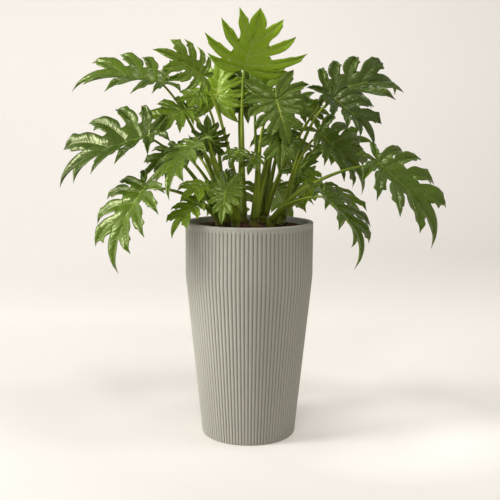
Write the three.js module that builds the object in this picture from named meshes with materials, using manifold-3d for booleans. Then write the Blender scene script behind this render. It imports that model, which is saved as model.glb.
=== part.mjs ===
// A split-leaf philodendron in a tall ribbed planter.
// Millimetres, +Z up, the front of the plant looks along -Y. The planter's foot is on z = 0.
//
// The plant is eight leafy stems that stand in the soil. Each stem carries a few leaves, and a leaf is
// a long stalk with a thin, deeply lobed blade. A stem and its leaves grew as one piece, so they are
// joined into one solid.

import * as THREE from 'three';
import Module from 'manifold-3d';

const wasm = await Module();
wasm.setup();
const { Manifold, Mesh } = wasm;

// The planter.
const HEIGHT = 680;
const TOP_RADIUS = 200;          // to the crests of the ribs
const FOOT_RADIUS = 148.5;
const TAPER_TOP = 508;           // above this height the wall is upright
const WALL = 15;
const FLOOR = 18;
const RIBS = 98;
const RIB_DEPTH = 3;
const RIM_BAND = 13;             // the smooth band at the top
const EDGE = 3;                  // how far the rim's inner corner is broken
const ROUND_SIDES = 48;

// The soil.
const CLEARANCE = 0.3;           // between pieces that touch
const SOIL_AT_WALL = 660;
const MOUND = 11;                // how much higher the soil is in the middle
const CLODS = 3.5;               // how uneven its surface is

// The leafy stems: each one's place in the soil.
const STEM_RADIUS = 17;
const STEM_FOOT = 600;
const STEM_TOP = 694;
const STEM_SIDES = 6;
const STEMS = [
  [-92, -8], [-42, -50], [14, -22], [64, -40], [98, 28], [44, 62], [-20, 48], [-74, 66],
];

// The leaves.
const BLADE = 0.9;               // thickness of a blade
const STALK_FOOT = 11;           // radius of a stalk where it leaves the stem
const STALK_END = 3.5;           // and at the blade
const STALK_SIDES = 4;
const RIDGE = 0.04;              // how far the stalk runs on in the blade, in blade lengths
const STALK_STEPS = [0, 0.13, 0.36, 0.68, 1];
const SINUS = 0.017;             // half the width of the cut between two lobes, in blade lengths

// A blade's outline, in blade lengths: s runs from the stalk's joint at 0 to the tip at 1, and w is
// the distance from the midrib. A lobe has its root on the midrib and its tip at (s, w). The cuts
// between the lobes end at the points of cuts; the first is the notch at the stalk, and the last is
// below the end lobe, which has its root at end. The lobes are slim times as wide as the space between
// their cuts. BROAD is a full-grown leaf, SMALL a young one with fewer lobes, HAND a short one whose
// lobes spread like fingers, and YOUNG the newest, at the top, whose lobes still point forward.
const BROAD = {
  lobes: [
    [0.00, -0.18, 0.19], [0.02, 0.05, 0.39], [0.09, 0.28, 0.46], [0.21, 0.53, 0.43], [0.37, 0.77, 0.30],
  ],
  cuts: [
    [-0.020, 0.010], [-0.035, 0.115], [0.085, 0.155], [0.235, 0.165], [0.410, 0.145], [0.610, 0.095],
  ],
  end: 0.53,
  slim: 1,
};
const SMALL = {
  lobes: [[0.00, -0.17, 0.18], [0.03, 0.10, 0.39], [0.13, 0.42, 0.44], [0.33, 0.73, 0.31]],
  cuts: [[-0.020, 0.012], [-0.030, 0.125], [0.125, 0.165], [0.325, 0.165], [0.565, 0.105]],
  end: 0.49,
  slim: 1,
};
const HAND = {
  lobes: [
    [0.00, -0.58, 0.46], [0.02, -0.14, 0.58], [0.06, 0.20, 0.58], [0.16, 0.49, 0.46], [0.34, 0.75, 0.28],
  ],
  cuts: [
    [-0.040, 0.012], [-0.170, 0.210], [0.030, 0.280], [0.235, 0.250], [0.420, 0.190], [0.620, 0.115],
  ],
  end: 0.50,
  slim: 1,
};
const YOUNG = {
  lobes: [[0.00, 0.15, 0.44], [0.06, 0.48, 0.57], [0.20, 0.70, 0.43], [0.40, 0.89, 0.26]],
  cuts: [[-0.020, 0.010], [0.120, 0.215], [0.320, 0.220], [0.500, 0.180], [0.680, 0.110]],
  end: 0.56,
  slim: 0.8,
};

// Each leaf: where it is seen from the front, its stem, the joint of stalk and blade, the blade's tip,
// the way its upper face looks, the rise of its arch in blade lengths, the upward fold along the midrib
// and the droop of its sides in degrees, its breadth against the outline above, and the outline.
const LEAVES = [
  // the large ones round the front and the sides
  ['upper left', 8, [-275, 90, 1110], [-575, 130, 1080], [-0.05, -0.47, 0.88], 0.14, 22, 20, 0.95, BROAD],
  ['middle left', 1, [-300, -65, 945], [-590, -10, 780], [-0.25, -0.56, 0.79], 0.12, 26, 18, 0.96, BROAD],
  ['low left', 1, [-310, -110, 795], [-390, -150, 535], [-0.70, -0.66, 0.28], 0.15, 20, 20, 1.08, BROAD],
  ['front left', 2, [-155, -120, 920], [-230, -215, 760], [-0.60, -0.55, 0.52], 0.13, 25, 25, 1.05, BROAD],
  ['high left', 7, [-145, 20, 1125], [-295, -40, 1200], [0.10, -0.78, 0.55], 0.08, 18, 22, 1.15, BROAD],
  ['top', 7, [-20, 10, 1150], [30, -35, 1325], [0.32, -0.92, -0.05], 0.04, 26, 10, 1.55, YOUNG],
  ['centre', 3, [80, -30, 1055], [120, -55, 910], [-0.05, -0.90, 0.40], 0.04, 8, 12, 1.20, HAND],
  ['upper right', 6, [250, 100, 1080], [490, 270, 1080], [-0.10, -0.78, 0.62], 0.20, 26, 20, 0.92, BROAD],
  ['second right', 5, [250, -50, 1060], [375, -60, 910], [0.60, -0.65, 0.45], 0.12, 22, 20, 1.15, BROAD],
  ['far right', 4, [375, -135, 870], [540, -150, 615], [0.60, -0.66, 0.45], 0.17, 18, 18, 1.05, BROAD],
  ['low right', 4, [215, -150, 775], [305, -210, 560], [0.85, -0.42, 0.32], 0.20, 20, 18, 1.10, BROAD],
  ['middle right', 5, [210, -20, 955], [355, 40, 760], [0.45, -0.65, 0.62], 0.14, 22, 22, 1.00, BROAD],
  // smaller and younger ones between them
  ['front', 2, [-70, -160, 785], [-80, -215, 690], [-0.10, -0.85, 0.45], 0.06, 15, 20, 0.92, HAND],
  ['upper centre', 6, [20, 70, 1065], [135, 110, 1190], [-0.10, -0.80, 0.50], 0.08, 20, 30, 1.00, SMALL],
  ['lit from behind', 7, [-105, 85, 1065], [-85, 115, 1195], [-0.30, -0.85, 0.35], 0.08, 15, 25, 1.35, HAND],
  ['inner left', 8, [-195, 30, 1025], [-325, 20, 930], [-0.35, -0.65, 0.62], 0.10, 20, 22, 1.25, SMALL],
  ['shaded left', 2, [-125, 0, 925], [-130, -35, 1010], [-0.05, -0.88, 0.38], 0.05, 15, 30, 1.25, HAND],
  ['behind front left', 8, [-225, 40, 900], [-335, 20, 800], [-0.50, -0.60, 0.50], 0.10, 20, 30, 1.05, SMALL],
  ['low yellow', 1, [-130, -70, 795], [-205, -150, 750], [-0.30, -0.75, 0.50], 0.10, 15, 30, 1.20, SMALL],
  ['over the rim', 1, [-160, -100, 745], [-230, -145, 640], [-0.50, -0.70, 0.50], 0.12, 20, 30, 1.05, SMALL],
  ['shaded right', 5, [150, 30, 840], [225, 20, 895], [0.05, -0.80, 0.55], 0.08, 12, 25, 0.85, HAND],
  ['low light', 5, [190, 55, 835], [165, 65, 710], [0.30, -0.80, 0.40], 0.10, 20, 30, 0.95, SMALL],
  ['behind middle right', 5, [240, 90, 905], [400, 110, 920], [0.10, -0.70, 0.65], 0.14, 25, 30, 1.00, SMALL],
  ['inner right', 6, [155, 120, 1035], [265, 170, 1005], [0.20, -0.70, 0.60], 0.10, 20, 30, 1.10, SMALL],
  ['right of centre', 3, [110, 45, 1030], [205, 60, 1080], [0.00, -0.80, 0.55], 0.08, 15, 20, 1.15, SMALL],
  ['hanging centre', 3, [100, -25, 960], [90, -65, 830], [0.10, -0.90, 0.30], 0.08, 15, 25, 1.10, SMALL],
  ['small centre', 3, [15, -40, 885], [-5, -70, 825], [-0.05, -0.65, 0.70], 0.08, 15, 25, 1.35, SMALL],
  ['small left of centre', 2, [-35, -40, 900], [-60, -95, 845], [-0.20, -0.60, 0.70], 0.08, 15, 25, 1.35, SMALL],
  ['light left', 8, [-150, 60, 1065], [-230, 25, 1045], [-0.30, -0.75, 0.55], 0.08, 18, 25, 1.40, SMALL],
  ['dark above front', 2, [-75, -85, 835], [-55, -130, 785], [-0.10, -0.60, 0.75], 0.08, 18, 25, 1.30, SMALL],
  ['dark centre', 7, [-20, 100, 1115], [-5, 75, 980], [-0.05, -0.90, 0.25], 0.05, 15, 30, 0.85, HAND],
  // the back
  ['high back right', 6, [110, 240, 1060], [200, 430, 980], [0.25, 0.50, 0.80], 0.14, 20, 30, 1.00, BROAD],
  ['high back', 7, [-30, 260, 1090], [-60, 480, 1000], [-0.10, 0.55, 0.80], 0.14, 20, 30, 1.05, BROAD],
  ['high back left', 8, [-190, 220, 1030], [-330, 380, 940], [-0.40, 0.45, 0.80], 0.14, 20, 30, 1.00, BROAD],
  ['middle back right', 5, [220, 200, 905], [370, 360, 790], [0.40, 0.45, 0.75], 0.13, 20, 30, 0.95, BROAD],
  ['middle back', 6, [90, 310, 930], [140, 510, 790], [0.15, 0.65, 0.70], 0.13, 20, 30, 1.00, BROAD],
  ['middle back left', 8, [-180, 210, 890], [-300, 390, 770], [-0.35, 0.50, 0.70], 0.13, 20, 30, 1.00, BROAD],
  ['low back right', 6, [90, 270, 770], [150, 430, 600], [0.20, 0.65, 0.55], 0.12, 22, 30, 0.95, BROAD],
  ['low back', 7, [-60, 270, 770], [-90, 420, 590], [-0.10, 0.75, 0.50], 0.12, 22, 30, 1.05, BROAD],
  ['low far right', 5, [230, 110, 780], [375, 190, 645], [0.60, 0.35, 0.60], 0.12, 22, 30, 1.00, SMALL],
];

/** A repeatable number from -1 to 1 for a leaf and one of its features. */
function draw(seed, feature) {
  const x = Math.sin(seed * 12.9898 + feature * 78.233) * 43758.5453;
  return (x - Math.floor(x)) * 2 - 1;
}

const vec = (x, y, z) => new THREE.Vector3(x, y, z);
const flat = (s, w) => new THREE.Vector2(s, w);

/** A closed solid from points and triangles that are seen anticlockwise from outside. */
function solid(points, triangles) {
  const vertProperties = new Float32Array(points.flatMap((p) => [p.x, p.y, p.z]));
  const triVerts = new Uint32Array(triangles.flat());
  return new Manifold(new Mesh({ numProp: 3, vertProperties, triVerts }));
}

/** Rings of equally many points joined into a closed solid with flat ends. */
function loft(rings) {
  const n = rings[0].length;
  const points = rings.flat();
  const triangles = [];
  for (let r = 0; r + 1 < rings.length; r += 1) {
    for (let i = 0; i < n; i += 1) {
      const a = r * n + i;
      const b = r * n + (i + 1) % n;
      triangles.push([a, b, b + n], [a, b + n, a + n]);
    }
  }
  const last = (rings.length - 1) * n;
  for (let i = 1; i + 1 < n; i += 1) {
    triangles.push([0, i + 1, i], [last, last + i, last + i + 1]);
  }
  return solid(points, triangles);
}

/** A ring of points about the Z axis, with a radius for each of them. */
function ring(count, z, radius) {
  return Array.from({ length: count }, (_, i) => {
    const angle = (2 * Math.PI * i) / count;
    const r = typeof radius === 'function' ? radius(i) : radius;
    return vec(r * Math.cos(angle), r * Math.sin(angle), z);
  });
}

/** An upright post with as many sides as a stem has. */
function post([x, y], foot, top, footRadius, topRadius) {
  return loft([ring(STEM_SIDES, foot, footRadius), ring(STEM_SIDES, top, topRadius)]).translate([x, y, 0]);
}

/** Radius of the planter's ribs at a height. */
function outerRadius(z) {
  return FOOT_RADIUS + (TOP_RADIUS - FOOT_RADIUS) * Math.min(z / TAPER_TOP, 1);
}

function planter() {
  const ribbed = (z, inset) => ring(2 * RIBS, z, (i) => outerRadius(z) - inset - (i % 2) * RIB_DEPTH);
  const smooth = (z, inset) => ring(2 * RIBS, z, outerRadius(z) - inset);
  const body = loft([
    ribbed(0, 0),
    ribbed(TAPER_TOP, 0),
    ribbed(HEIGHT - RIM_BAND, 0),
    smooth(HEIGHT - RIM_BAND + 1, 0),
    smooth(HEIGHT, 0),
  ]);
  const hollow = loft([
    ring(ROUND_SIDES, FLOOR, outerRadius(FLOOR) - WALL),
    ring(ROUND_SIDES, TAPER_TOP, TOP_RADIUS - WALL),
    ring(ROUND_SIDES, HEIGHT - EDGE, TOP_RADIUS - WALL),
    ring(ROUND_SIDES, HEIGHT + 1, TOP_RADIUS - WALL + EDGE),
  ]);
  return Manifold.difference(body, hollow);
}

/** Height of the soil's clods at a place, flatter near the wall and round the stems. */
function soilHeight(x, y) {
  const reach = Math.min(Math.hypot(x, y) / (TOP_RADIUS - WALL), 1);
  const rough = Math.sin(x * 0.11 + 1.3) * Math.cos(y * 0.13) + 0.6 * Math.sin(x * 0.23 - y * 0.19);
  return SOIL_AT_WALL + MOUND * (1 - reach * reach) + (CLODS / 1.6) * rough * (1 - reach ** 6);
}

function soil() {
  const rings = [];
  const wall = (z) => outerRadius(z) - WALL - CLEARANCE;
  rings.push(ring(ROUND_SIDES, FLOOR + CLEARANCE, wall(FLOOR + CLEARANCE)));
  rings.push(ring(ROUND_SIDES, TAPER_TOP, wall(TAPER_TOP)));
  for (const part of [1, 0.7, 0.35]) {
    const level = ring(ROUND_SIDES, 0, wall(HEIGHT) * part);
    level.forEach((p) => p.setZ(soilHeight(p.x, p.y)));
    rings.push(level);
  }
  const hole = STEM_RADIUS + CLEARANCE;
  const holes = STEMS.map((place) => post(place, STEM_FOOT - CLEARANCE, HEIGHT, hole, hole));
  return Manifold.difference(loft(rings), Manifold.union(holes));
}

/** A leaf's own directions and its curved midrib. */
function midribOf([, , joint, tip, face, arch]) {
  const start = vec(...joint);
  const along = vec(...tip).sub(start);
  const length = along.length();
  along.normalize();
  const up = vec(...face);
  up.addScaledVector(along, -up.dot(along)).normalize();
  const rise = (s) => 2.12 * (s > 0 ? s - s ** 4 : s);
  const slope = (s) => 2.12 * (s > 0 ? 1 - 4 * s ** 3 : 1);
  const at = (s) => (
    start.clone().addScaledVector(along, length * s).addScaledVector(up, length * arch * rise(s))
  );
  const axes = (s) => {
    const forward = along.clone().addScaledVector(up, arch * slope(s)).normalize();
    const above = up.clone().addScaledVector(forward, -up.dot(forward)).normalize();
    return { forward, above, side: forward.clone().cross(above) };
  };
  return { length, at, axes };
}

/** Half the width of a lobe against that at its root, where x is 0 at the cuts and 1 at its tip. */
function lobeWidth(x) {
  return (1 + 0.15 * Math.sin(Math.PI * Math.min(x / 0.7, 1))) * (1 - x ** 2.2) ** 0.9;
}

/**
 * The lobe's vein, as a curve from the midrib to the lobe's tip, and the point on it level with the
 * two cuts beside it. Each lobe is a little longer or shorter than the next.
 */
function lobeVein(outline, k, key) {
  const [root, tipS, tipW] = outline.lobes[k];
  const from = flat(root, 0);
  const level = flat(...outline.cuts[k]).add(flat(...outline.cuts[k + 1])).multiplyScalar(0.5);
  const to = flat(tipS, tipW).sub(level).multiplyScalar(1 + 0.13 * draw(key, 3 * k + 1)).add(level);
  to.x += 0.025 * draw(key, 3 * k + 2);
  const reach = to.clone().sub(from);
  const bow = from.clone().addScaledVector(reach, 0.55);
  bow.add(flat(-0.16 * Math.abs(reach.y), 0.05 * Math.abs(reach.y)));
  const curve = new THREE.QuadraticBezierCurve(from, bow, to);
  let start = 0.05;
  let nearest = Infinity;
  for (let u = 0.05; u < 0.96; u += 0.01) {
    const off = Math.abs(curve.getPoint(u).sub(level).dot(curve.getTangent(u)));
    if (off < nearest) {
      nearest = off;
      start = u;
    }
  }
  return { curve, start };
}

/** A point on a lobe's edge: side is -1 for the edge towards the stalk and 1 for the other. */
function lobeEdge(outline, k, vein, x, side) {
  const cuts = outline.cuts;
  const space = Math.hypot(cuts[k + 1][0] - cuts[k][0], cuts[k + 1][1] - cuts[k][1]);
  const half = (space / 2 - SINUS) * outline.slim;
  const u = vein.start + (1 - vein.start) * x;
  const centre = vein.curve.getPoint(u);
  const way = vein.curve.getTangent(u);
  const out = flat(way.y, -way.x).multiplyScalar(side);
  const q = Math.min(x / 0.16, 1);
  const opened = Math.sqrt(1 - (1 - q) ** 2);
  const cut = flat(...cuts[side < 0 ? k : k + 1]).sub(vein.curve.getPoint(vein.start));
  const share = side < 0 ? 1.08 : 0.92;
  return centre
    .addScaledVector(cut, 1 - opened)
    .addScaledVector(out, half * lobeWidth(x) * opened * share);
}

/** A blade as one thin plate. */
function blade(leaf, seed) {
  const [, , , , , , fold, droop, breadth, outline] = leaf;
  const rib = midribOf(leaf);
  const curl = THREE.MathUtils.degToRad(droop) / 0.42;
  const lift = THREE.MathUtils.degToRad(fold);
  const count = outline.lobes.length;
  const points = [];
  const triangles = [];

  // Puts a point of the outline into space: the sides rise from the midrib at the fold's angle and bend
  // down with the droop, and a lobe's end hangs a little lower.
  const place = (p, side, sag = 0) => {
    const { forward, above, side: across } = rib.axes(p.x);
    const w = p.y * breadth;
    const out = (Math.sin(lift) - Math.sin(lift - curl * w)) / curl;
    const high = (Math.cos(lift - curl * w) - Math.cos(lift)) / curl - sag;
    points.push(rib.at(p.x)
      .addScaledVector(across, side * out * rib.length)
      .addScaledVector(above, high * rib.length));
    return points.length - 1;
  };
  const roots = [...outline.lobes.map((lobe) => lobe[0]), outline.end];
  const spine = roots.map((root, k) => place(flat(k === 0 ? 0 : (roots[k - 1] + root) / 2, 0), 1));
  const lastCut = outline.cuts[count];
  const middle = place(flat(0.84, 0), 1);
  const tip = place(flat(1, 0), 1);

  for (const side of [1, -1]) {
    const key = seed + (side > 0 ? 0 : 57);
    const face = (...corners) => triangles.push(side > 0 ? corners : corners.reverse());
    const cuts = outline.cuts.map((cut) => place(flat(...cut), side));
    for (let k = 0; k < count; k += 1) {
      const vein = lobeVein(outline, k, key);
      const sag = (x) => 0.05 * (1 + 0.8 * draw(key, 3 * k + 3)) * x * x;
      const edge = (x, way) => place(lobeEdge(outline, k, vein, x, way), side, sag(x));
      const shoulder = edge(0.12, -1);
      const back = edge(0.5, -1);
      const front = edge(0.42, 1);
      const end = place(vein.curve.getPoint(1), side, sag(1));
      face(spine[k], cuts[k], cuts[k + 1]);
      face(spine[k], cuts[k + 1], spine[k + 1]);
      face(cuts[k], shoulder, cuts[k + 1]);
      face(shoulder, front, cuts[k + 1]);
      face(shoulder, back, front);
      face(back, end, front);
    }
    const cheekWidth = (lastCut[1] - SINUS) * lobeWidth(0.5);
    const cheek = place(flat(lastCut[0] + (1 - lastCut[0]) * 0.5, cheekWidth), side);
    face(spine[count], cuts[count], middle);
    face(cuts[count], cheek, middle);
    face(cheek, tip, middle);
  }
  return plate(points, triangles, BLADE);
}

/** Gives a sheet of triangles a thickness, with both faces split alike. */
function plate(points, triangles, thickness) {
  const normals = points.map(() => vec(0, 0, 0));
  const edges = new Map();
  for (const [a, b, c] of triangles) {
    const n = points[b].clone().sub(points[a]).cross(points[c].clone().sub(points[a]));
    for (const i of [a, b, c]) {
      normals[i].add(n);
    }
    for (const [i, j] of [[a, b], [b, c], [c, a]]) {
      edges.set(`${i} ${j}`, [i, j]);
    }
  }
  const n = points.length;
  const shifted = (way) => points.map((p, i) => (
    p.clone().addScaledVector(normals[i].clone().normalize(), (way * thickness) / 2)
  ));
  const all = triangles.flatMap(([a, b, c]) => [[a, b, c], [c + n, b + n, a + n]]);
  for (const [i, j] of edges.values()) {
    if (!edges.has(`${j} ${i}`)) {
      all.push([j, i, i + n], [j, i + n, j + n]);
    }
  }
  return solid([...shifted(1), ...shifted(-1)], all);
}

/** A leaf's stalk, thick where it clasps the stem. At the blade it bends into the midrib. */
function stalk(leaf) {
  const rib = midribOf(leaf);
  const { forward, above } = rib.axes(0);
  const [x, y] = STEMS[leaf[1] - 1];
  const joint = rib.at(RIDGE).addScaledVector(above, 0.4);
  const lean = flat(joint.x - x, joint.y - y).normalize();
  const foot = vec(x + 6 * lean.x, y + 6 * lean.y, STEM_TOP - 10);
  const way = joint.clone().sub(foot);
  const length = way.length();
  way.normalize();
  const rising = way.clone().add(vec(0, 0, 1)).normalize();
  const arriving = way.clone().multiplyScalar(0.6).addScaledVector(forward, 0.5).normalize();
  const path = new THREE.CubicBezierCurve3(
    foot,
    foot.clone().addScaledVector(rising, 0.38 * length),
    joint.clone().addScaledVector(arriving, -0.22 * length),
    joint,
  );
  const across = vec(-lean.y, lean.x, 0);
  return loft(STALK_STEPS.map((u) => {
    const centre = path.getPoint(u);
    const ahead = path.getTangent(u);
    const radius = STALK_END + (STALK_FOOT - STALK_END) * (1 - u) ** 2;
    const side = across.clone().addScaledVector(ahead, -across.dot(ahead)).normalize();
    const other = ahead.clone().cross(side);
    return Array.from({ length: STALK_SIDES }, (_, i) => {
      const angle = (2 * Math.PI * i) / STALK_SIDES;
      return centre.clone()
        .addScaledVector(side, radius * Math.cos(angle))
        .addScaledVector(other, radius * Math.sin(angle));
    });
  }));
}

/** A stem with all its leaves. */
function leafyStem(number) {
  const pieces = [post(STEMS[number - 1], STEM_FOOT, STEM_TOP, STEM_RADIUS, STEM_RADIUS * 0.75)];
  LEAVES.forEach((leaf, i) => {
    if (leaf[1] === number) {
      pieces.push(stalk(leaf), blade(leaf, i + 1));
    }
  });
  return Manifold.union(pieces);
}

/** A named mesh from a solid. */
function mesh(name, body, color, roughness) {
  const { numProp, vertProperties, triVerts } = body.getMesh();
  const geometry = new THREE.BufferGeometry();
  const positions = [];
  for (const v of triVerts) {
    positions.push(...vertProperties.subarray(v * numProp, v * numProp + 3));
  }
  geometry.setAttribute('position', new THREE.Float32BufferAttribute(positions, 3));
  geometry.computeVertexNormals();
  const piece = new THREE.Mesh(geometry, new THREE.MeshStandardMaterial({ color, roughness, metalness: 0 }));
  piece.name = name;
  return piece;
}

const plant = new THREE.Group();
plant.name = 'potted_philodendron';
plant.add(mesh('planter', planter(), 0x9fa59b, 0.75));
plant.add(mesh('potting_soil', soil(), 0x3a2418, 0.95));
STEMS.forEach((_, i) => {
  plant.add(mesh(`leafy_stem_${i + 1}`, leafyStem(i + 1), 0x3c6b1f, 0.4));
});

export default plant;
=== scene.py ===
# %% [markdown]
# # A split-leaf philodendron in a ribbed planter
#
# The plant is mostly thin, deeply cut leaves on long stalks. Every leaf is worked out from one of four
# small outline tables and a few formulas, so all of them are kin and no two are alike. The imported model
# is the frame: each finer piece made here stands in the place of one of its nodes.

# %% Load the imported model
import math
import random

import bmesh
import bpy
from mathutils import Matrix, Vector, noise


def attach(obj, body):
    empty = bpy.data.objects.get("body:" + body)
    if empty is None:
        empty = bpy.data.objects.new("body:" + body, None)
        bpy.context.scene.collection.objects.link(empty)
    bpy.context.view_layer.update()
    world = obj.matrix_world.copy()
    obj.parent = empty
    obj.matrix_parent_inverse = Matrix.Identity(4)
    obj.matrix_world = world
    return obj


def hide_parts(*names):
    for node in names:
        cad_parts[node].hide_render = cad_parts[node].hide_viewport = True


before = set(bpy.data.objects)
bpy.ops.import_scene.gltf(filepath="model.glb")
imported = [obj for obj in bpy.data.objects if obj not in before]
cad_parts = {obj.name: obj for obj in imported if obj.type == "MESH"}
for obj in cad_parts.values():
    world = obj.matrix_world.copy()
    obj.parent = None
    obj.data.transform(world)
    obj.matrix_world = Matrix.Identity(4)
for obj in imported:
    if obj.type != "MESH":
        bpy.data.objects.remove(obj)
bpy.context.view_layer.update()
MM = 0.001
print("nodes:", ", ".join(sorted(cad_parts)))

# %% [markdown]
# ## Camera
#
# The photograph was taken from a little above the rim, with a lens of about 60 mm. The place comes from
# fitting the planter's rim, foot and sides to the picture, and the camera is turned by a third of a
# degree, as the picture is.

# %% Camera
CAMERA_PLACE = Vector((2.5, -2624.0, 960.0)) * MM
LOOKS_DOWN = math.radians(8.07)
LEANS = math.radians(0.31)
FOCAL_PIXELS = 841.0
PICTURE_PIXELS = 500.0
SENSOR = 36.0

camera_data = bpy.data.cameras.new("camera")
camera_data.sensor_width = SENSOR
camera_data.lens = FOCAL_PIXELS / PICTURE_PIXELS * SENSOR
camera = bpy.data.objects.new("camera", camera_data)
bpy.context.scene.collection.objects.link(camera)
camera.matrix_world = (
    Matrix.Translation(CAMERA_PLACE)
    @ Matrix.Rotation(math.radians(90) - LOOKS_DOWN, 4, "X")
    @ Matrix.Rotation(LEANS, 4, "Z")
)
bpy.context.scene.camera = camera
print("lens", round(camera_data.lens, 1), "mm")

# %% [markdown]
# ## Tools for shaders
#
# A pattern is easier to read as a sum than as a web of nodes. `Wire` wraps one output of a node, and the
# usual signs add the Math nodes. `Finish` is a material: its `node` makes any other node, and its short
# methods make those that are used often.


# %% Wires and finishes
class Wire:
    """One output socket that can be used in sums."""

    def __init__(self, tree, socket):
        self.tree = tree
        self.socket = socket

    def math(self, operation, *values):
        node = self.tree.nodes.new("ShaderNodeMath")
        node.operation = operation
        for place, value in enumerate(values):
            plug(self.tree, node.inputs[place], value)
        return Wire(self.tree, node.outputs[0])

    def __add__(self, other):
        return self.math("ADD", self, other)

    def __sub__(self, other):
        return self.math("SUBTRACT", self, other)

    def __rsub__(self, other):
        return self.math("SUBTRACT", other, self)

    def __mul__(self, other):
        return self.math("MULTIPLY", self, other)

    def __truediv__(self, other):
        return self.math("DIVIDE", self, other)

    def __abs__(self):
        return self.math("ABSOLUTE", self)

    __radd__ = __add__
    __rmul__ = __mul__

    def fraction(self):
        return self.math("FRACT", self)

    def at_least(self, other):
        return self.math("MAXIMUM", self, other)

    def clamp(self):
        return self.math("MINIMUM", self.at_least(0.0), 1.0)


def plug(tree, socket, value):
    """Links a wire to a socket, or sets the socket. A colour of three numbers gets an alpha of 1."""
    if isinstance(value, Wire):
        tree.links.new(value.socket, socket)
    elif isinstance(value, tuple) and len(value) == 3 and len(socket.default_value) == 4:
        socket.default_value = (*value, 1.0)
    else:
        socket.default_value = value


class Finish:
    """A material that is built up node by node."""

    def __init__(self, name):
        self.material = bpy.data.materials.new(name)
        self.material.use_nodes = True
        self.tree = self.material.node_tree
        self.tree.nodes.clear()

    def node(self, kind, settings=None, values=None, output=0):
        """A new node: its settings are made first, then its sockets are set or linked."""
        node = self.tree.nodes.new("ShaderNode" + kind)
        for key, setting in (settings or {}).items():
            setattr(node, key, setting)
        for key, value in (values or {}).items():
            plug(self.tree, node.inputs[key], value)
        return Wire(self.tree, node.outputs[output])

    def mix(self, amount, first, second):
        """A colour between two colours: the node's sockets 6 and 7 take them, and its output 2 gives it."""
        return self.node("Mix", {"data_type": "RGBA"}, {0: amount, 6: first, 7: second}, output=2)

    def own_place(self):
        """Where a point lies on its piece, in metres."""
        return self.node("TexCoord", output="Object")

    def noise(self, scale, detail, roughness=0.5, where=None):
        """Soft cloudy noise from 0 to 1, on the piece's own coordinates unless told otherwise."""
        if where is None:
            where = self.own_place()
        values = {"Vector": where, "Scale": scale, "Detail": detail, "Roughness": roughness}
        return self.node("TexNoise", values=values)

    def parts(self, vector):
        """The three numbers of a vector."""
        first = self.node("SeparateXYZ", values={0: vector})
        return [Wire(self.tree, output) for output in first.socket.node.outputs]

    def stored(self, name):
        """Three numbers that the points of the mesh hold under a name."""
        return self.parts(self.node("Attribute", {"attribute_name": name}, output="Color"))

    def mapped(self, name):
        """The two numbers of a UV map, and a third that is always 0."""
        return self.parts(self.node("UVMap", {"uv_map": name}))

    def bump(self, height, distance, strength):
        return self.node("Bump", values={"Height": height, "Distance": distance, "Strength": strength})

    def end(self, shader):
        output = self.tree.nodes.new("ShaderNodeOutputMaterial")
        plug(self.tree, output.inputs["Surface"], shader)
        return self.material


# %% [markdown]
# ## Tools for meshes
#
# Most surfaces here are a rubber sheet that a formula lays in place: a lobe of a leaf, a stalk. The
# sheet is a grid from `create_grid`, and `lay` asks the formula where each of its points goes. A tube
# is a sheet whose two long sides meet and are merged.

# %% Sheets and pieces
WELD = 1e-6             # points nearer than this many metres become one


def lay(bm, columns, rows, place, turn=False):
    """Lays a grid: place(across, along) takes two numbers from 0 to 1 and gives a point. The upper face
    has across to the right of along, or to the left of it with turn. Returns the vertices."""
    grid = bmesh.ops.create_grid(bm, x_segments=columns, y_segments=rows, size=1.0)["verts"]
    if turn:
        bmesh.ops.reverse_faces(bm, faces=list({face for vertex in grid for face in vertex.link_faces}))
    for vertex in grid:
        across = (vertex.co.x + 1) / 2
        along = (vertex.co.y + 1) / 2
        vertex.co = place(across, along)
    return grid


def finish_piece(name, bm, materials, node):
    """Makes the object of a piece that stands for a node of the frame."""
    mesh = bpy.data.meshes.new(name)
    bm.to_mesh(mesh)
    bm.free()
    for material in materials:
        mesh.materials.append(material)
    mesh.shade_smooth()
    piece = bpy.data.objects.new(name, mesh)
    bpy.context.scene.collection.objects.link(piece)
    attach(piece, "root")
    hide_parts(node)
    print(name, "faces", len(mesh.polygons))
    return piece


def turn_profile(bm, profile, steps):
    """Turns a line of (radius, height) points, in millimetres, about the Z axis into a body."""

    def place(across, along):
        radius, height = profile[round(along * (len(profile) - 1))]
        angle = 2 * math.pi * across
        return Vector((radius * math.cos(angle), radius * math.sin(angle), height)) * MM

    body = lay(bm, steps, len(profile) - 1, place)
    bmesh.ops.remove_doubles(bm, verts=body, dist=WELD)


def arc(centre, radius, start, end, steps):
    """Points of a round corner, in degrees."""
    angles = [math.radians(start + (end - start) * i / steps) for i in range(steps + 1)]
    return [(centre[0] + radius * math.cos(a), centre[1] + radius * math.sin(a)) for a in angles]


# %% [markdown]
# ## Planter
#
# The planter is cast in one piece: an upright wall that tapers to a smaller foot, with fine upright reeds
# all round and a smooth band at the rim. Its section is drawn once and spun, and each point of the outer
# wall is then drawn in towards the axis between the reeds. The reeds fade out below the band and at the
# foot. All sizes are in millimetres.

# %% Planter's shape
HEIGHT = 680.0
TOP_RADIUS = 200.0
FOOT_RADIUS = 148.5
TAPER_TOP = 508.0
EASE = 14.0             # half the height over which the wall bends at the top of the taper
WALL = 15.0
FLOOR = 18.0
RIM_BAND = 13.0
RIM_ROUND = 3.0
FOOT_ROUND = 5.0
FLOOR_ROUND = 2.0
SOIL_EDGE = 640.0       # the inner wall and the soil have a ring of points here
REEDS = 98
REED_DEPTH = 3.0
REED_POINTS = 12        # points of the mesh for one reed
REEDS_FROM = 1.0
FADE_AT_FOOT = 6.0
FADE_AT_BAND = 5.0
OUTER_SKIN = 6.0        # a point this near the outside belongs to the outer wall
ROUNDNESS = 0.995       # a little under 1, so that the grooves aren't infinitely steep


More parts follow.
